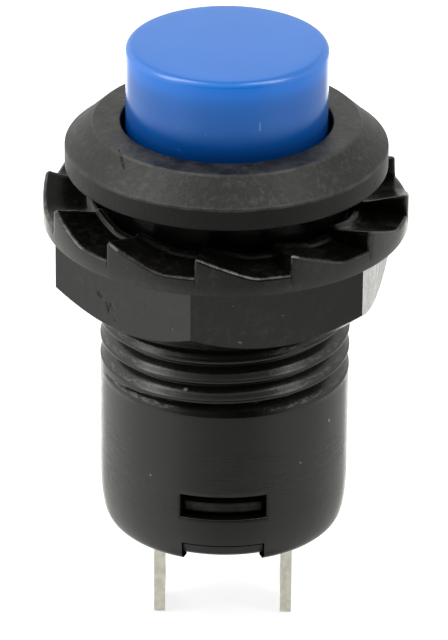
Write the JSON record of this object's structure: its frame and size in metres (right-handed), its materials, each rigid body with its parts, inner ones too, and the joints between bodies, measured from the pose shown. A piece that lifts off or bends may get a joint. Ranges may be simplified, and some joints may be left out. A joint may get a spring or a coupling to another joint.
{
  "type": "latching push button switch",
  "caption": "Round panel-mount latching push button switch with a raised cap, bevelled bezel, threaded barrel, toothed hexagon nut and solder terminals.",
  "frame": {"origin": "on the switch's axis, in the plane of the bezel flange's underside, which is the panel's outer face", "axes": "+Z along the axis towards the button; -Y towards the snap window beside the latch pin; the terminals stand side by side along X"},
  "size_m": [0.0172, 0.0172, 0.0297],
  "materials": {
    "housing_plastic": "satin black moulded plastic",
    "cap_plastic": "satin gloss blue moulded plastic",
    "plunger_plastic": "natural acetal",
    "spring_steel": "drawn spring wire",
    "bridge_brass": "stamped strip",
    "contact_silver": "silver contact face",
    "terminal_tinned": "tin-plated strip",
    "base_plastic": "satin black moulded plastic",
    "nut_plastic": "satin black moulded plastic"
  },
  "bodies": {
    "housing": {"housing": "housing_plastic", "terminal_base": "base_plastic", "terminal_left": "terminal_tinned", "terminal_right": "terminal_tinned", "fixed_contact_left": "contact_silver", "fixed_contact_right": "contact_silver", "latch_spring": "spring_steel", "return_spring": "spring_steel"},
    "button": {"push_cap": "cap_plastic", "plunger": "plunger_plastic"},
    "bridge": {"contact_bridge": "bridge_brass", "bridge_contact_left": "contact_silver", "bridge_contact_right": "contact_silver", "contact_spring": "spring_steel"},
    "latch": {"latch_pin": "spring_steel"},
    "nut": {"panel_nut": "nut_plastic"}
  },
  "joints": [
    {"name": "button_press", "type": "slide", "parent": "housing", "child": "button", "axis": [0, 0, 1], "range_m": [-0.0028, 0], "stiffness_N_per_m": 450, "springref_m": 0.002, "deforming": ["return_spring", "contact_spring"]},
    {"name": "bridge_slide", "type": "slide", "parent": "housing", "child": "bridge", "axis": [0, 0, 1], "range_m": [-0.0012, 0]},
    {"name": "latch_swing", "type": "hinge", "parent": "housing", "child": "latch", "pos_m": [0, -0.0029, -0.0134], "axis": [0, 1, 0], "range_deg": [-12.2, 0]},
    {"name": "nut_turn", "type": "hinge", "parent": "housing", "child": "nut", "pos_m": [0, 0, 0], "axis": [0, 0, 1], "continuous": true}
  ],
  "couplings": [
    {"joint": "bridge_slide", "follows": "button_press", "ratio": 0.425},
    {"joint": "latch_swing", "follows": "button_press", "rad_per_m": 74.9}
  ]
}
